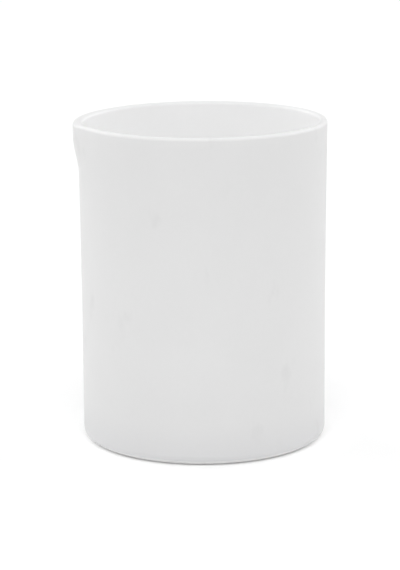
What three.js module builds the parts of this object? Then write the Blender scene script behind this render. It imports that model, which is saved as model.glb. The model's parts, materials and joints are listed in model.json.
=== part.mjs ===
// A porcelain crucible of the beaker form: a plain upright vessel with a small pinched
// pouring lip. It is fired in one piece and has nothing that moves. Its body is bare on the
// underside and on the edge that it stands on, and a thin glaze coat covers the rest: the
// outside, the rim and the inside. Body and coat are the two solids here.
// Millimetres, +Z up. The origin is where the vessel's axis meets the surface that it stands
// on, and the lip points along -X.
import * as THREE from "three";
import { mergeGeometries } from "three/addons/utils/BufferGeometryUtils.js";

// ---- Driving dimensions --------------------------------------------------------------------
const height = 90; // table to the top of the rim, coat included
const rimRadius = 34.6; // outside of the wall at the top, coat included
const taper = 0.4; // how much less the radius is at the bottom
const waistDepth = 0.2; // how far the wall draws in between top and bottom
const wallThickness = 2.0; // fired wall, coat included on both faces
const floorThickness = 3.2; // underside to the inside floor, coat included
const footEdgeRadius = 3.0; // rounding of the edge between the underside and the wall
const insideCornerRadius = 5.0; // rounding between the inside wall and the inside floor
const glazeThickness = 0.2;
const glazeLine = 1.4; // height above the table where the coat stops

const lipReach = 1.35; // how far the lip carries the outside of the wall outwards
const lipReachInside = 0.75; // the same for the inside, so the edge is thicker at the lip
const lipHalfWidth = 41; // degrees round the rim from the lip's middle to where it dies out
const lipCrown = 17; // degrees either side of its middle at full reach
const lipDepth = 10.7; // height over which the lip grows out of the wall
const lipBrow = 4; // stretch below the top of the rim where it is at full reach
const lipDip = 0.25; // how far the rim sinks at the lip

// ---- How finely round surfaces are cut -----------------------------------------------------
const turnSegments = 64; // round the vessel
const turnCrowding = 0.35; // 0 spaces them evenly; more draws them together at the lip
const arcSegments = 4; // along each quarter round of the profile
const lipSegments = 6; // up the stretch of wall that the lip changes
const wallSegments = 3; // up the plain stretch of wall below it

// ---- Sizes of the bare body, which the coat is laid on -------------------------------------
const bodyHeight = height - glazeThickness;
const bodyRadius = rimRadius - glazeThickness; // at the rim
const bodyWall = wallThickness - 2 * glazeThickness;
const bodyFloor = floorThickness - glazeThickness;
const rimRounding = bodyWall / 2; // the rim is fully round
const lipTop = bodyHeight - lipBrow;
const lipFoot = lipTop - lipDepth;

// Outside radius of the bare wall at a height: tapered from rim to foot, and drawn in between.
function wallRadius(z) {
  const share = z / bodyHeight;
  return bodyRadius - taper * (1 - share) - waistDepth * 4 * share * (1 - share);
}

// Points of a round from angle `from` to angle `to`, in degrees, in the plane of the profile.
function arc(centreR, centreZ, radius, from, to) {
  const points = [];
  const steps = Math.max(1, Math.round((arcSegments * Math.abs(to - from)) / 90));
  for (let i = 0; i <= steps; i++) {
    const a = THREE.MathUtils.degToRad(from + ((to - from) * i) / steps);
    points.push(new THREE.Vector2(centreR + radius * Math.cos(a), centreZ + radius * Math.sin(a)));
  }
  return points;
}

// Points up a wall between two heights; `radiusAt` gives the wall's radius at a height.
function wallPoints(radiusAt, low, high, steps) {
  const points = [];
  for (let i = 1; i < steps; i++) {
    const z = low + ((high - low) * i) / steps;
    points.push(new THREE.Vector2(radiusAt(z), z));
  }
  return points;
}

// A whole stretch of wall from `low` to `high`: coarse below the lip, finer where the lip grows.
function wall(radiusAt, low, high) {
  return [
    ...wallPoints(radiusAt, low, lipFoot, wallSegments),
    new THREE.Vector2(radiusAt(lipFoot), lipFoot),
    ...wallPoints(radiusAt, lipFoot, lipTop, lipSegments),
    ...wallPoints(radiusAt, lipTop, high, 1),
  ];
}

// Angle on the foot edge, in degrees, at which a surface `coat` outside the bare body reaches
// the glaze line: -90 is the underside, 0 is where the edge meets the wall.
function glazeLineAngle(coat) {
  return THREE.MathUtils.radToDeg(Math.asin((glazeLine - footEdgeRadius) / (footEdgeRadius + coat)));
}

// Points round the foot edge of that surface, between two such angles.
function footEdge(coat, from, to) {
  const centreR = wallRadius(footEdgeRadius) - footEdgeRadius;
  return arc(centreR, footEdgeRadius, footEdgeRadius + coat, from, to);
}

// The surface `coat` outside the bare body, from the glaze line up the outside, over the rim
// and down the inside to the axis.
function glazedSurface(coat) {
  const outside = (z) => wallRadius(z) + coat;
  const inside = (z) => wallRadius(z) - bodyWall - coat;
  const rimCentre = bodyHeight - rimRounding;
  const cornerRadius = insideCornerRadius - coat;
  const cornerCentreZ = bodyFloor + insideCornerRadius;
  const cornerCentreR = inside(cornerCentreZ) - cornerRadius;
  return [
    ...footEdge(coat, glazeLineAngle(coat), 0),
    ...wall(outside, footEdgeRadius, rimCentre),
    ...arc(wallRadius(rimCentre) - rimRounding, rimCentre, rimRounding + coat, 0, 180),
    ...wall(inside, cornerCentreZ, rimCentre).reverse(),
    ...arc(cornerCentreR, cornerCentreZ, cornerRadius, 0, -90),
    new THREE.Vector2(0, bodyFloor + coat),
  ];
}

// How strongly the lip shapes a place: 1 on its crown near the rim, 0 away from it.
function lipShare(angleFromLip, z) {
  const degrees = THREE.MathUtils.radToDeg(Math.abs(angleFromLip));
  const round = 1 - THREE.MathUtils.smoothstep(degrees, lipCrown, lipHalfWidth);
  return round * THREE.MathUtils.smoothstep(z, lipFoot, lipTop);
}

// The lip's full reach at a point of the wall: less towards the inside of the vessel.
function fullReach(radius, z) {
  const across = (radius - (wallRadius(z) - bodyWall)) / bodyWall;
  return THREE.MathUtils.lerp(lipReachInside, lipReach, across);
}

// Turns a profile about Z, draws the segments together at the lip, and pulls the lip out.
function vessel(profile) {
  const geometry = new THREE.LatheGeometry(profile, turnSegments);
  geometry.rotateX(Math.PI / 2);
  const place = geometry.getAttribute("position");
  for (let i = 0; i < place.count; i++) {
    const z = place.getZ(i);
    const radius = Math.hypot(place.getX(i), place.getY(i));
    const even = Math.atan2(place.getY(i), -place.getX(i)); // 0 at the lip, which is at -X
    const crowded = even - turnCrowding * Math.sin(even);
    const share = lipShare(crowded, z);
    const reached = radius + fullReach(radius, z) * share;
    place.setXYZ(i, -reached * Math.cos(crowded), reached * Math.sin(crowded), z - lipDip * share);
  }
  geometry.computeVertexNormals();
  return geometry;
}

// ---- The two solids ------------------------------------------------------------------------
const biscuit = new THREE.MeshStandardMaterial({ color: 0xe6e6e5, roughness: 0.85, metalness: 0 });
const whiteGlaze = new THREE.MeshStandardMaterial({ color: 0xe7e7e7, roughness: 0.35, metalness: 0 });

// The bare body: its flat underside, the unglazed part of the foot edge, then the rest.
function porcelainBody() {
  const bareEdge = footEdge(0, -90, glazeLineAngle(0)).slice(0, -1);
  const profile = [new THREE.Vector2(0, 0), ...bareEdge, ...glazedSurface(0)];
  const mesh = new THREE.Mesh(vessel(profile), biscuit);
  mesh.name = "porcelain_body";
  return mesh;
}

// The glaze: its outer surface, the same surface of the body turned to face it, and the narrow
// ring at the glaze line that closes the coat between them.
function glazeCoat() {
  const outer = glazedSurface(glazeThickness);
  const inner = glazedSurface(0);
  const onBody = vessel(inner);
  const corners = onBody.getIndex();
  for (let i = 0; i < corners.count; i += 3) {
    const second = corners.getX(i + 1);
    corners.setX(i + 1, corners.getX(i + 2));
    corners.setX(i + 2, second);
  }
  const edge = vessel([inner[0], outer[0]]);
  const mesh = new THREE.Mesh(mergeGeometries([vessel(outer), onBody, edge]), whiteGlaze);
  mesh.name = "glaze_coat";
  return mesh;
}

const crucible = new THREE.Group();
crucible.add(porcelainBody(), glazeCoat());
export default crucible;
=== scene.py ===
# %% [markdown]
# # A porcelain crucible of the beaker form
#
# The object is a plain white laboratory vessel: a nearly straight wall, a fully rounded rim
# with a small pouring lip, and a flat foot. It is fired in one piece. Two things make it up,
# the porcelain itself and the glaze fused onto it, so there are two pieces to model here.
#
# Everything below is in metres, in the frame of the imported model: the origin is on the
# vessel's axis where it stands, +Z is up and the lip points along -X.

import json
from math import atan2, cos, degrees, hypot, pi, radians, sin

import bmesh
import bpy
from mathutils import Matrix, Vector

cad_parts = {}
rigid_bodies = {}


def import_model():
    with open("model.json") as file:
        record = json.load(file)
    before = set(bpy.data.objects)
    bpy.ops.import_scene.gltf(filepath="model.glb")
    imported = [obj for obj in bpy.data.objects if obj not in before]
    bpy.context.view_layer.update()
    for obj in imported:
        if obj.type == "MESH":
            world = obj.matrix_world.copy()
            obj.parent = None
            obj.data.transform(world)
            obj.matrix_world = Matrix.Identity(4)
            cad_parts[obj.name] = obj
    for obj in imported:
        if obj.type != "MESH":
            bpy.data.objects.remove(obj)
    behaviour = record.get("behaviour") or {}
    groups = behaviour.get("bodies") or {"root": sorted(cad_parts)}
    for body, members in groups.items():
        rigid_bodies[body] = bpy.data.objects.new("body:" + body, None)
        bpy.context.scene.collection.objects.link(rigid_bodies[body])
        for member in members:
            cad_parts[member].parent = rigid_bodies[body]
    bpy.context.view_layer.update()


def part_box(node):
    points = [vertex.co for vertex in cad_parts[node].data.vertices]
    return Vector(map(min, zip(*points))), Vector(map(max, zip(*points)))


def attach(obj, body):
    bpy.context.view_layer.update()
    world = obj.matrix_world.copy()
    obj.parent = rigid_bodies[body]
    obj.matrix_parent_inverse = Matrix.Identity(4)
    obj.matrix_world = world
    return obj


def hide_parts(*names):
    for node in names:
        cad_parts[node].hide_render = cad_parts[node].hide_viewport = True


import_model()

MM = 0.001
NEARLY = 0.001 * MM

# %% [markdown]
# ## Sizes
#
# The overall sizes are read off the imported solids, so a change to them carries through. The
# glaze reaches past the bare body by its own thickness, which gives that thickness. What the
# boxes cannot tell, such as the rounding of the foot, is written here once by name.

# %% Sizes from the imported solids
body_low, body_high = (Vector(corner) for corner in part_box("porcelain_body"))
coat_low, coat_high = (Vector(corner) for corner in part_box("glaze_coat"))

BODY_HEIGHT = body_high.z
BODY_RIM_RADIUS = body_high.x
GLAZE = coat_high.z - body_high.z
LIP_REACH = -body_low.x - BODY_RIM_RADIUS

print(f"bare body {BODY_HEIGHT / MM:.2f} mm tall, {BODY_RIM_RADIUS / MM:.2f} mm in radius at the rim")
print(f"glaze {GLAZE / MM:.2f} mm thick, lip reaches {LIP_REACH / MM:.2f} mm")

# %% Sizes that the boxes do not give
TAPER = 0.4 * MM
BODY_FOOT_RADIUS = BODY_RIM_RADIUS - TAPER
WAIST_DEPTH = 0.2 * MM
BODY_WALL = 1.6 * MM
BODY_FLOOR = 3.0 * MM
FOOT_EDGE_RADIUS = 3.0 * MM
INSIDE_CORNER_RADIUS = 5.0 * MM
GLAZE_LINE = 1.4 * MM

LIP_REACH_INSIDE = 0.75 * MM
LIP_CROWN = 17
LIP_HALF_WIDTH = 41
LIP_DEPTH = 10.7 * MM
LIP_BROW = 4.0 * MM
LIP_TOP = BODY_HEIGHT - LIP_BROW
LIP_DIP = 0.25 * MM
print(f"bare radius at the foot {BODY_FOOT_RADIUS / MM:.2f} mm, lip fully out {LIP_TOP / MM:.1f} mm up")

# %% [markdown]
# ## The camera and the table
#
# The camera comes first, because every choice of detail depends on how large the vessel stands
# in the view. It is a long lens above the height of the rim that looks down a little, turned so
# that the lip is at the left and points slightly away. The table is a plain pale sheet that
# runs far out to all sides.

# %% Camera
CAMERA_AZIMUTH = radians(11)
CAMERA_DISTANCE = 0.6456
CAMERA_HEIGHT = 0.1896
CAMERA_PITCH = radians(12.81)
CAMERA_PAN = radians(0.087)
CAMERA_ROLL = radians(-0.38)
SENSOR = 36.0
LENS = 148.8

camera_data = bpy.data.cameras.new("camera")
camera_data.sensor_width = SENSOR
camera_data.lens = LENS
camera_data.clip_start = 0.01
camera_data.clip_end = 50
camera = bpy.data.objects.new("camera", camera_data)
bpy.context.collection.objects.link(camera)
round_the_vessel = Matrix.Rotation(CAMERA_AZIMUTH, 4, "Z")
camera.matrix_world = (
    round_the_vessel
    @ Matrix.Translation((0, -CAMERA_DISTANCE, CAMERA_HEIGHT))
    @ Matrix.Rotation(CAMERA_PAN, 4, "Z")
    @ Matrix.Rotation(pi / 2 - CAMERA_PITCH, 4, "X")
    @ Matrix.Rotation(CAMERA_ROLL, 4, "Z")
)
bpy.context.scene.camera = camera
print("camera stands at", [round(part, 3) for part in camera.matrix_world.translation])

# %% Table
TABLE_HALF_WIDTH = 6.0
GAP_UNDER_THE_FOOT = 0.02 * MM

table_mesh = bpy.data.meshes.new("table")
bm = bmesh.new()
bmesh.ops.create_grid(bm, x_segments=1, y_segments=1, size=TABLE_HALF_WIDTH)
bmesh.ops.translate(bm, verts=bm.verts, vec=(0, 0, body_low.z - GAP_UNDER_THE_FOOT))
bm.to_mesh(table_mesh)
bm.free()
table = bpy.data.objects.new("table", table_mesh)
bpy.context.collection.objects.link(table)
print(f"table {2 * TABLE_HALF_WIDTH:.0f} m wide")

# %% [markdown]
# ## The vessel's shape
#
# A potter makes this vessel on a wheel or in a turned mould, and then presses the lip out of
# the soft rim. The mesh is made the same way: half of its section is drawn with straight lines,
# the corners are rounded, and the section is spun round the axis. A cylinder primitive would
# give neither the floor, the inside nor the round rim. The lip and the slight waist come after
# the spin, as a gentle movement of the whole wall, because that keeps the wall's thickness.

# %% How the wall and the lip depart from a straight cylinder
def ease(value, start, end):
    """0 before start, 1 after end, and a smooth rise between them."""
    share = min(1, max(0, (value - start) / (end - start)))
    return share * share * (3 - 2 * share)


def wall_radius(z):
    """Outside radius of the bare wall at a height."""
    share = z / BODY_HEIGHT
    straight = BODY_FOOT_RADIUS + (BODY_RIM_RADIUS - BODY_FOOT_RADIUS) * share
    return straight - WAIST_DEPTH * 4 * share * (1 - share)


def lip_share(x, y, z):
    """1 on the crown of the lip, 0 away from it."""
    from_lip = abs(degrees(atan2(y, -x)))
    round_the_rim = 1 - ease(from_lip, LIP_CROWN, LIP_HALF_WIDTH)
    return round_the_rim * ease(z, LIP_TOP - LIP_DEPTH, LIP_TOP)


def shaped(place):
    """Where a point of the straight cylinder goes on the real vessel."""
    radius = hypot(place.x, place.y)
    if radius < MM:
        return place
    new_radius = radius * wall_radius(place.z) / BODY_RIM_RADIUS
    across = (new_radius - wall_radius(place.z) + BODY_WALL) / BODY_WALL
    share = lip_share(*place)
    reach = LIP_REACH_INSIDE + (LIP_REACH - LIP_REACH_INSIDE) * across
    scale = (new_radius + reach * share) / radius
    return Vector((place.x * scale, place.y * scale, place.z - LIP_DIP * share))


# %% The bare body
TURN_STEPS = 160
ARC_SEGMENTS = 10
WALL_CUTS = 44


def new_piece(name, bm):
    """A smooth-shaded object at the origin from a bmesh, which is freed."""
    mesh = bpy.data.meshes.new(name)
    for face in bm.faces:
        face.smooth = True
    bm.to_mesh(mesh)
    bm.free()
    piece = bpy.data.objects.new(name, mesh)
    bpy.context.collection.objects.link(piece)
    print(f"{name}: {len(mesh.polygons)} faces")
    return piece


def round_corner(bm, place, radius):
    """Turns the corner of the drawn section that is at a place into an arc."""
    corner = min(bm.verts, key=lambda vert: (vert.co - Vector(place)).length)
    bmesh.ops.bevel(
        bm, geom=[corner], affect="VERTICES", offset=radius, offset_type="OFFSET",
        segments=ARC_SEGMENTS, profile=0.5, material=-1, clamp_overlap=True,
    )


def spun_body():
    """The vessel's section, rounded, cut finely up the walls, and spun round the axis."""
    bm = bmesh.new()
    outside = BODY_RIM_RADIUS
    inside = BODY_RIM_RADIUS - BODY_WALL
    foot_edge = (outside, 0, 0)
    rim_outside = (outside, 0, BODY_HEIGHT)
    rim_inside = (inside, 0, BODY_HEIGHT)
    inside_corner = (inside, 0, BODY_FLOOR)
    section = [(0, 0, 0), foot_edge, rim_outside, rim_inside, inside_corner, (0, 0, BODY_FLOOR)]
    corners = [bm.verts.new(place) for place in section]
    for pair in zip(corners, corners[1:]):
        bm.edges.new(pair)
    round_corner(bm, foot_edge, FOOT_EDGE_RADIUS)
    round_corner(bm, inside_corner, INSIDE_CORNER_RADIUS)
    round_corner(bm, rim_outside, BODY_WALL / 2)
    round_corner(bm, rim_inside, BODY_WALL / 2)
    bmesh.ops.remove_doubles(bm, verts=bm.verts, dist=NEARLY)
    walls = [edge for edge in bm.edges if edge.calc_length() > BODY_HEIGHT / 2]
    bmesh.ops.subdivide_edges(bm, edges=walls, cuts=WALL_CUTS)
    bmesh.ops.spin(
        bm, geom=bm.verts[:] + bm.edges[:], axis=(0, 0, 1), cent=(0, 0, 0),
        angle=2 * pi, steps=TURN_STEPS, use_merge=True, use_duplicate=False,
    )
    bmesh.ops.remove_doubles(bm, verts=bm.verts, dist=NEARLY)
    bmesh.ops.recalc_face_normals(bm, faces=bm.faces)
    for vert in bm.verts:
        vert.co = shaped(vert.co)
    return bm


bm = spun_body()
print("open edges in the body:", sum(not edge.is_manifold for edge in bm.edges))
print("shortest edge:", min(e.calc_length() for e in bm.edges) / MM, "mm")
body_shape = bm.copy()
vessel_body = new_piece("vessel_body", bm)
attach(vessel_body, "root")
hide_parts("porcelain_body")

# %% [markdown]
# ## The glaze coat
#
# Glaze is a thin layer of glass that covers the inside, the rim and the outside, and stops
# just above the foot, where the potter wipes it off so that the vessel does not stick to the
# kiln shelf. A texture could fake it, but a real layer gives the small step at its lower edge.
# So a copy of the body is cut off at the glaze line and given a wall outwards. Its new lower
# edge is then rounded, as melted glaze draws itself up into a soft bead.

# %% Glaze from a copy of the body
GLAZE_EDGE_ROUNDING = 0.12 * MM
GLAZE_EDGE_SEGMENTS = 3


def is_round_the_glaze_line(edge, under_glaze):
    """True for an edge of the coat's outer lower rim: level, low, and not on the body."""
    one, other = edge.verts
    level = abs(one.co.z - other.co.z) < NEARLY
    low = max(one.co.z, other.co.z) < GLAZE_LINE - NEARLY
    return level and low and under_glaze.isdisjoint((tuple(one.co), tuple(other.co)))


def make_coat(bm):
    """Turns a copy of the body into the layer of glaze over it."""
    bmesh.ops.bisect_plane(
        bm, geom=bm.verts[:] + bm.edges[:] + bm.faces[:], dist=NEARLY,
        plane_co=(0, 0, GLAZE_LINE), plane_no=(0, 0, 1), clear_inner=True,
    )
    under_glaze = {tuple(vert.co) for vert in bm.verts}
    bmesh.ops.solidify(bm, geom=bm.faces[:], thickness=-GLAZE)
    lower_rim = [edge for edge in bm.edges if is_round_the_glaze_line(edge, under_glaze)]
    bmesh.ops.bevel(
        bm, geom=lower_rim, affect="EDGES", offset=GLAZE_EDGE_ROUNDING, offset_type="OFFSET",
        segments=GLAZE_EDGE_SEGMENTS, profile=0.5, material=-1, clamp_overlap=True,
    )
    bmesh.ops.recalc_face_normals(bm, faces=bm.faces)
    print(f"rounded {len(lower_rim)} edges round the glaze line")


coat_shape = body_shape
make_coat(coat_shape)

# %% [markdown]
# The layer is equally thick all over, but its tone is not to be the same everywhere: the
# inside is painted lighter than the outside, as painted light, and the crest of the rim gets a
# white of its own, as painted shade that tones down its highlight. So each point of the coat
# stores how much it is inside and how much it is on the crest, from 0 to 1. Named attributes
# keep that with the mesh, whichever way the vessel is placed or turned.

# %% Mark the inside and the crest of the rim
# How far down the rim the painted shade on the crest reaches.
CREST_DEPTH = 1.2 * MM


def insideness(place):
    """0 at the outer face of the wall, 1 at the inner face."""
    share = lip_share(*place)
    middle = wall_radius(place.z) - BODY_WALL / 2 + share * (LIP_REACH + LIP_REACH_INSIDE) / 2
    inwards = middle - hypot(place.x, place.y)
    return min(1, max(0, 0.5 + inwards / BODY_WALL))


def crestness(place):
    """1 on the top of the rim, 0 a little way down either side of it."""
    top = BODY_HEIGHT + GLAZE - LIP_DIP * lip_share(*place)
    return ease(place.z, top - CREST_DEPTH, top)


inside_layer = coat_shape.verts.layers.float.new("inside")
crest_layer = coat_shape.verts.layers.float.new("crest_shade")
for vert in coat_shape.verts:
    vert[inside_layer] = insideness(vert.co)
    vert[crest_layer] = crestness(vert.co)
glaze = new_piece("glaze", coat_shape)
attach(glaze, "root")
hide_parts("glaze_coat")

# %% [markdown]
# ## Finishes
#
# White is hard to make look real, because all that tells a fired surface from plastic is very
# faint: a soft cloudiness, a few pinhead specks of iron, a skin that ripples like the peel of
# an orange, and handling marks that change both colour and shine. Each of these effects is a
# group of nodes with its own settings, so that each material can use it at its own strength.

# %% Helpers for nodes
def add_node(tree, kind, settings=None, **inputs):
    """Adds a node, sets its options, and feeds its inputs with values or other sockets."""
    node = tree.nodes.new(kind)
    for option, value in (settings or {}).items():
        setattr(node, option, value)
    for name, value in inputs.items():
        socket = node.inputs[int(name[1:])] if name[1:].isdigit() else node.inputs[name]
        if isinstance(value, bpy.types.NodeSocket):
            tree.links.new(value, socket)
        else:
            socket.default_value = value
    return node


def calculate(tree, operation, *values):
    """A Math node's result for one, two or three values."""
    node = add_node(tree, "ShaderNodeMath", {"operation": operation})
    for socket, value in zip(node.inputs, values):
        if isinstance(value, bpy.types.NodeSocket):
            tree.links.new(value, socket)
        else:
            socket.default_value = value
    return node.outputs[0]


def remap(tree, value, low, high, to_low, to_high):
    """Maps low..high smoothly onto to_low..to_high."""
    node = add_node(tree, "ShaderNodeMapRange", {"interpolation_type": "SMOOTHSTEP"})
    tree.links.new(value, node.inputs["Value"])
    node.inputs["From Min"].default_value = low
    node.inputs["From Max"].default_value = high
    node.inputs["To Min"].default_value = to_low
    node.inputs["To Max"].default_value = to_high
    return node.outputs["Result"]


def noise(tree, place, scale, detail=2.0, roughness=0.5):
    """A noise pattern's value, with the scale in ripples per metre."""
    return add_node(
        tree, "ShaderNodeTexNoise", Vector=place, Scale=scale, Detail=detail, Roughness=roughness
    ).outputs["Fac"]


def new_group(name, inputs, outputs):
    """A shader node group with named sockets, and its input and output nodes."""
    tree = bpy.data.node_groups.new(name, "ShaderNodeTree")
    for label, kind, value in inputs:
        socket = tree.interface.new_socket(label, in_out="INPUT", socket_type=kind)
        if value is not None:
            socket.default_value = value
    for label, kind in outputs:
        tree.interface.new_socket(label, in_out="OUTPUT", socket_type=kind)
    return tree, tree.nodes.new("NodeGroupInput").outputs, tree.nodes.new("NodeGroupOutput").inputs


def use_group(tree, group, **inputs):
    """Places a group in a material and feeds its inputs."""
    node = tree.nodes.new("ShaderNodeGroup")
    node.node_tree = group
    for name, value in inputs.items():
        socket = node.inputs[name.replace("_", " ")]
        if isinstance(value, bpy.types.NodeSocket):
            tree.links.new(value, socket)
        else:
            socket.default_value = value
    return node.outputs


def new_material(name):
    """An empty node material with its shader and the object's own coordinates."""
    material = bpy.data.materials.new(name)
    material.use_nodes = True
    tree = material.node_tree
    place = tree.nodes.new("ShaderNodeTexCoord").outputs["Object"]
    return material, tree, tree.nodes["Principled BSDF"], place


def mix(tree, share, one, other):
    """Blends two colours."""
    node = add_node(tree, "ShaderNodeMix", {"data_type": "RGBA"})
    for socket, value in zip((node.inputs[0], node.inputs[6], node.inputs[7]), (share, one, other)):
        if isinstance(value, bpy.types.NodeSocket):
            tree.links.new(value, socket)
        else:
            socket.default_value = value
    return node.outputs[2]


def toned(tree, colour, tone):
    """A colour made lighter or darker by a factor."""
    return add_node(
        tree, "ShaderNodeVectorMath", {"operation": "SCALE"}, i0=colour, Scale=tone
    ).outputs["Vector"]


FLOAT = "NodeSocketFloat"
VECTOR = "NodeSocketVector"

# %% [markdown]
# Cloudiness: a fired white is never wholly even. Two sizes of noise, one of patches as wide as
# a thumb and one of grain, are added up around 1, and the colour is multiplied by that.

# %% Cloudiness
PATCHES_PER_METRE = 55.0
GRAINS_PER_METRE = 900.0
GRAIN_SHARE = 0.6
MIDDLE_OF_BOTH = 0.8

clouds, given, result = new_group(
    "cloudiness",
    [("Place", VECTOR, None), ("Strength", FLOAT, 0.01)],
    [("Tone", FLOAT)],
)
patches = noise(clouds, given["Place"], PATCHES_PER_METRE, 3.0, 0.55)
grain = noise(clouds, given["Place"], GRAINS_PER_METRE, 2.0, 0.6)
both = calculate(clouds, "MULTIPLY_ADD", grain, GRAIN_SHARE, patches)
centred = calculate(clouds, "SUBTRACT", both, MIDDLE_OF_BOTH)
tone = calculate(clouds, "MULTIPLY_ADD", centred, given["Strength"], 1.0)
clouds.links.new(tone, result["Tone"])
print(clouds.name, "has", len(clouds.nodes), "nodes")

# %% [markdown]
# Specks: fine iron in the clay melts to pinhead dots. A Voronoi pattern puts one dot in each
# cell, its random colour decides which cells keep theirs, and the distance to the cell's point
# gives a round dot with a soft edge.

# %% Specks
DOT_CORE = 0.4

specks, given, result = new_group(
    "specks",
    [("Place", VECTOR, None), ("Cells per metre", FLOAT, 90.0), ("Dot size", FLOAT, 0.02),
     ("Share of cells", FLOAT, 0.3)],
    [("Mask", FLOAT)],
)
cells = add_node(
    specks, "ShaderNodeTexVoronoi", Vector=given["Place"], Scale=given["Cells per metre"]
).outputs
chance = add_node(specks, "ShaderNodeSeparateColor", Color=cells["Color"]).outputs
kept = calculate(specks, "LESS_THAN", chance["Red"], given["Share of cells"])
own_size = calculate(specks, "MULTIPLY_ADD", chance["Green"], given["Dot size"], given["Dot size"])
nearness = calculate(specks, "DIVIDE", cells["Distance"], own_size)
dot = remap(specks, nearness, DOT_CORE, 1.0, 1.0, 0.0)
specks.links.new(calculate(specks, "MULTIPLY", dot, kept), result["Mask"])
print(specks.name, "has", len(specks.nodes), "nodes")

# %% [markdown]
# Handling marks: here and there a faint smear is left by a glove or a shelf. Noise that is
# stretched upwards and cut off high leaves only a few soft islands.

# %% Handling marks
MARKS_PER_METRE = 120.0
MARK_TILT = (0.0, 0.6, 0.3)
MARK_STRETCH = (1.0, 1.0, 0.55)
MARK_FADE = 0.14

smears, given, result = new_group(
    "handling marks",
    [("Place", VECTOR, None), ("Rarity", FLOAT, 0.62)],
    [("Mask", FLOAT)],
)
slanted = add_node(smears, "ShaderNodeMapping", Vector=given["Place"])
slanted.inputs["Rotation"].default_value = MARK_TILT
slanted.inputs["Scale"].default_value = MARK_STRETCH
islands = noise(smears, slanted.outputs["Vector"], MARKS_PER_METRE, 3.0, 0.5)
fully = calculate(smears, "ADD", given["Rarity"], MARK_FADE)
spread = add_node(smears, "ShaderNodeMapRange", {"interpolation_type": "SMOOTHSTEP"})
smears.links.new(islands, spread.inputs["Value"])
smears.links.new(given["Rarity"], spread.inputs["From Min"])
smears.links.new(fully, spread.inputs["From Max"])
smears.links.new(spread.outputs["Result"], result["Mask"])
print(smears.name, "has", len(smears.nodes), "nodes")

# %% [markdown]
# Skin: fired surfaces are never quite flat. Long soft waves are left by the turning of the
# vessel, and short ones by the glaze itself. The group gives a height in metres, so that each
# material can say how deep its own skin is.

# %% Skin
WAVES_PER_METRE = 30.0
WAVE_STRETCH = (1.0, 1.0, 2.0)

skin, given, result = new_group(
    "skin",
    [("Place", VECTOR, None), ("Wave height", FLOAT, 0.00003), ("Peel height", FLOAT, 0.000002),
     ("Peel ripples per metre", FLOAT, 700.0)],
    [("Height", FLOAT)],
)
flattened = add_node(skin, "ShaderNodeMapping", Vector=given["Place"])
flattened.inputs["Scale"].default_value = WAVE_STRETCH
waves = noise(skin, flattened.outputs["Vector"], WAVES_PER_METRE, 1.0, 0.4)
peel = add_node(
    skin, "ShaderNodeTexNoise", Vector=given["Place"], Scale=given["Peel ripples per metre"],
    Detail=1.5, Roughness=0.5,
).outputs["Fac"]
wave_part = calculate(skin, "MULTIPLY", waves, given["Wave height"])
height = calculate(skin, "MULTIPLY_ADD", peel, given["Peel height"], wave_part)
skin.links.new(height, result["Height"])
print(skin.name, "has", len(skin.nodes), "nodes")

# %% [markdown]
# ### The glaze
#
# A satin white glaze. It is a dielectric, so the shader stays plain: white base, no metal, and
# a roughness near 0.5, which spreads a softbox into a broad pale bloom. The tones on it are
# painted light and shade: the inside is painted a lighter white than the outside, as painted
# light for the light that bounces about inside a white vessel; the outside is painted a shade
# lighter round the belly, as painted light from the table, and darker at the foot, as painted
# shade where it meets the table; and the crest of the rim gets a white of its own, painted shade
# that tones down its highlight. A real vessel may well be one white all over, and under other
# lights these are the first values to even out. The bead at the lower edge is a shade cooler
# and glossier.

# %% White glaze
# The inside and belly whites are painted light, the foot and crest whites are painted shade.
GLAZE_OUTSIDE = (0.69, 0.69, 0.69, 1)
GLAZE_BELLY_PAINTED_LIGHT = (0.705, 0.705, 0.705, 1)
GLAZE_FOOT_PAINTED_SHADE = (0.65, 0.65, 0.655, 1)
GLAZE_INSIDE_PAINTED_LIGHT = (0.945, 0.945, 0.945, 1)
GLAZE_CREST_PAINTED_SHADE = (0.775, 0.775, 0.775, 1)
BEAD_COLOUR = (0.62, 0.625, 0.64, 1)
SMEAR_COLOUR = (0.6, 0.6, 0.6, 1)
SPECK_COLOUR = (0.40, 0.39, 0.38, 1)
BEAD_STRENGTH = 0.5
SMEAR_STRENGTH = 0.25
SPECK_STRENGTH = 0.6
SMEAR_RARITY = 0.62
GLAZE_CLOUDS = 0.03
GLAZE_ROUGHNESS = 0.5
UNEVEN_PER_METRE = 150.0
UNEVEN_SHINE = 0.1
SMEAR_DULLS = 0.12
BEAD_SHINES = 0.1
BEAD_WIDTH = 0.9 * MM
# Heights where the painted shade at the foot fades out and the painted light round the belly fades in
# and out.
FOOT_PAINTED_SHADE_TOP = 13 * MM
BELLY_LOW = 8 * MM
BELLY_FULL_LOW = 30 * MM
BELLY_FULL_HIGH = 45 * MM
BELLY_HIGH = 85 * MM


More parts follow.
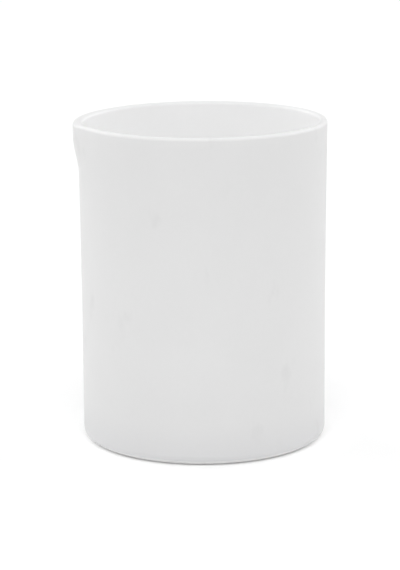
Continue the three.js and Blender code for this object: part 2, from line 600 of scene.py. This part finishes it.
def white_glaze():
    material, tree, shader, place = new_material("white_glaze")
    height = add_node(tree, "ShaderNodeSeparateXYZ", Vector=place).outputs["Z"]
    inside = add_node(tree, "ShaderNodeAttribute", {"attribute_name": "inside"}).outputs["Fac"]
    crest_shade = add_node(tree, "ShaderNodeAttribute", {"attribute_name": "crest_shade"}).outputs["Fac"]
    bead = remap(tree, height, GLAZE_LINE, GLAZE_LINE + BEAD_WIDTH, 1.0, 0.0)
    tone = use_group(tree, clouds, Place=place, Strength=GLAZE_CLOUDS)["Tone"]
    outside = calculate(tree, "SUBTRACT", 1.0, inside)
    marks = use_group(tree, smears, Place=place, Rarity=SMEAR_RARITY)["Mask"]
    smear = calculate(tree, "MULTIPLY", outside, marks)
    speck = use_group(
        tree, specks, Place=place, Cells_per_metre=85.0, Dot_size=0.012, Share_of_cells=0.35
    )["Mask"]

    # Painted light: the outside is lighter round the belly, for light from the table.
    belly_painted_light = calculate(
        tree, "MULTIPLY",
        remap(tree, height, BELLY_LOW, BELLY_FULL_LOW, 0.0, 1.0),
        remap(tree, height, BELLY_FULL_HIGH, BELLY_HIGH, 1.0, 0.0),
    )
    # Painted shade: the outside darkens towards the foot, where it meets the table.
    foot = remap(tree, height, GLAZE_LINE, FOOT_PAINTED_SHADE_TOP, 1.0, 0.0)

    colour = mix(tree, belly_painted_light, GLAZE_OUTSIDE, GLAZE_BELLY_PAINTED_LIGHT)
    colour = mix(tree, foot, colour, GLAZE_FOOT_PAINTED_SHADE)
    # Painted light: the inside is lighter, for light bouncing about inside the vessel.
    colour = mix(tree, inside, colour, GLAZE_INSIDE_PAINTED_LIGHT)
    # Painted shade: the crest of the rim gets a white that tones down its highlight.
    colour = mix(tree, crest_shade, colour, GLAZE_CREST_PAINTED_SHADE)
    colour = mix(tree, calculate(tree, "MULTIPLY", bead, BEAD_STRENGTH), colour, BEAD_COLOUR)
    colour = mix(tree, calculate(tree, "MULTIPLY", smear, SMEAR_STRENGTH), colour, SMEAR_COLOUR)
    colour = mix(tree, calculate(tree, "MULTIPLY", speck, SPECK_STRENGTH), colour, SPECK_COLOUR)
    tree.links.new(toned(tree, colour, tone), shader.inputs["Base Color"])

    uneven = noise(tree, place, UNEVEN_PER_METRE, 2.0, 0.5)
    shiniest = GLAZE_ROUGHNESS - UNEVEN_SHINE / 2
    rough = calculate(tree, "MULTIPLY_ADD", uneven, UNEVEN_SHINE, shiniest)
    rough = calculate(tree, "MULTIPLY_ADD", smear, SMEAR_DULLS, rough)
    rough = calculate(tree, "MULTIPLY_ADD", bead, -BEAD_SHINES, rough)
    tree.links.new(rough, shader.inputs["Roughness"])

    surface = use_group(tree, skin, Place=place)["Height"]
    bump = add_node(tree, "ShaderNodeBump", Height=surface, Strength=1.0, Distance=1.0)
    tree.links.new(bump.outputs["Normal"], shader.inputs["Normal"])
    print(material.name, "has", len(tree.nodes), "nodes")
    return material


glaze.data.materials.append(white_glaze())

# %% [markdown]
# ### The bare porcelain
#
# Unglazed porcelain is matt and here almost neutral, with a fine dry grain. The part that
# stands on the table gets a grey rubbed ring, as shelves and benches leave. The bare porcelain
# shows only as a thin line under the edge of the glaze, and when the vessel is picked up.

# %% Bare porcelain
BISCUIT = (0.79, 0.79, 0.785, 1)
RUBBED = (0.60, 0.60, 0.595, 1)
BISCUIT_ROUGHNESS = 0.85
BISCUIT_CLOUDS = 0.05
RUBBING_POLISHES = 0.15
RUBBED_PATCHES_PER_METRE = 350.0
RUBBED_HEIGHT = 0.12 * MM
RUBBED_RING = 3.5 * MM


def bare_porcelain():
    material, tree, shader, place = new_material("bare_porcelain")
    axes = add_node(tree, "ShaderNodeSeparateXYZ", Vector=place).outputs
    y_squared = calculate(tree, "MULTIPLY", axes["Y"], axes["Y"])
    squares = calculate(tree, "MULTIPLY_ADD", axes["X"], axes["X"], y_squared)
    from_axis = calculate(tree, "SQRT", squares)
    foot = BODY_FOOT_RADIUS - FOOT_EDGE_RADIUS
    ring = remap(tree, from_axis, foot - RUBBED_RING, foot, 0.0, 1.0)
    low = remap(tree, axes["Z"], 0.0, RUBBED_HEIGHT, 1.0, 0.0)
    patches_of_wear = noise(tree, place, RUBBED_PATCHES_PER_METRE, 3.0, 0.6)
    patchy = remap(tree, patches_of_wear, 0.35, 0.65, 0.2, 0.7)
    rubbed = calculate(tree, "MULTIPLY", calculate(tree, "MULTIPLY", ring, low), patchy)
    tone = use_group(tree, clouds, Place=place, Strength=BISCUIT_CLOUDS)["Tone"]
    speck = use_group(
        tree, specks, Place=place, Cells_per_metre=160.0, Dot_size=0.02, Share_of_cells=0.4
    )["Mask"]

    colour = mix(tree, rubbed, BISCUIT, RUBBED)
    colour = mix(tree, calculate(tree, "MULTIPLY", speck, SPECK_STRENGTH), colour, SPECK_COLOUR)
    tree.links.new(toned(tree, colour, tone), shader.inputs["Base Color"])

    rough = calculate(tree, "MULTIPLY_ADD", rubbed, -RUBBING_POLISHES, BISCUIT_ROUGHNESS)
    tree.links.new(rough, shader.inputs["Roughness"])

    surface = use_group(
        tree, skin, Place=place, Peel_height=0.00001, Peel_ripples_per_metre=2600.0
    )["Height"]
    bump = add_node(tree, "ShaderNodeBump", Height=surface, Strength=1.0, Distance=1.0)
    tree.links.new(bump.outputs["Normal"], shader.inputs["Normal"])
    print(material.name, "has", len(tree.nodes), "nodes")
    return material


vessel_body.data.materials.append(bare_porcelain())

# %% [markdown]
# ### The table and the light
#
# The table is a plain white sheet. A product studio often uses a translucent one with a lamp
# under it, so that the shadow where an object stands does not turn black; here there is no lamp
# under it, and instead a patch of the table under and round the vessel glows faintly as painted
# light that lifts the shadow at the foot, and fades out about a centimetre from the foot.

# %% Table surface
TABLE_WHITE = (0.93, 0.93, 0.93, 1)
TABLE_ROUGHNESS = 0.8
TABLE_PAINTED_GLOW = 0.08
GLOW_FULL = 34 * MM
GLOW_END = 46 * MM


def table_white():
    material, tree, shader, place = new_material("table_white")
    shader.inputs["Base Color"].default_value = TABLE_WHITE
    shader.inputs["Roughness"].default_value = TABLE_ROUGHNESS
    # Painted light: the table glows round the vessel to lift the shadow at its foot.
    shader.inputs["Emission Strength"].default_value = TABLE_PAINTED_GLOW
    distance = add_node(tree, "ShaderNodeVectorMath", {"operation": "LENGTH"}, i0=place)
    glow = remap(tree, distance.outputs["Value"], GLOW_FULL, GLOW_END, 1.0, 0.0)
    tree.links.new(glow, shader.inputs["Emission Color"])
    print(material.name, "has", len(tree.nodes), "nodes")
    return material


table_mesh.materials.append(table_white())

# %% [markdown]
# White on white needs light from all round, or the wall goes grey and the shadows go hard. Six
# large softboxes stand a few metres off. The two in front and behind are high, so they reach
# the inside of the vessel; the four at the sides are lower, and make the wall's edges a little
# brighter than its middle, which is what shows that it is round. The power that an area light
# needs grows with its size, so each is given as the brightness of its face instead.

# %% Softboxes
AIM = Vector((0, 0, BODY_HEIGHT / 2))
# Each name has degrees round from the camera, degrees up, distance, width and brightness.
SOFTBOXES = {
    "front": (0, 52, 3.2, 2.6, 2.6),
    "back": (180, 50, 3.2, 2.6, 0.35),
    "left": (-80, 30, 3.0, 2.2, 1.05),
    "right": (80, 30, 3.0, 2.2, 0.95),
    "left_back": (-130, 25, 3.0, 2.0, 2.3),
    "right_back": (130, 25, 3.0, 2.0, 2.2),
}


def softbox(name, turn, rise, distance, width, brightness):
    data = bpy.data.lights.new(name, "AREA")
    data.shape = "SQUARE"
    data.size = width
    data.energy = brightness * pi * width ** 2
    light = bpy.data.objects.new(name, data)
    bpy.context.collection.objects.link(light)
    turn, rise = radians(turn), radians(rise)
    outwards = Vector((sin(turn) * cos(rise), -cos(turn) * cos(rise), sin(rise)))
    facing = outwards.to_track_quat("Z", "Y").to_matrix().to_4x4()
    light.matrix_world = round_the_vessel @ Matrix.Translation(AIM + outwards * distance) @ facing


for name, settings in SOFTBOXES.items():
    softbox(name, *settings)
print(len(SOFTBOXES), "softboxes")

# %% Room light
ROOM_LIGHT = 0.4

world = bpy.data.worlds.new("studio")
bpy.context.scene.world = world
world.use_nodes = True
background = world.node_tree.nodes["Background"]
background.inputs["Color"].default_value = (1, 1, 1, 1)
background.inputs["Strength"].default_value = ROOM_LIGHT
bpy.context.scene.view_settings.view_transform = "Standard"
print("room light", ROOM_LIGHT)
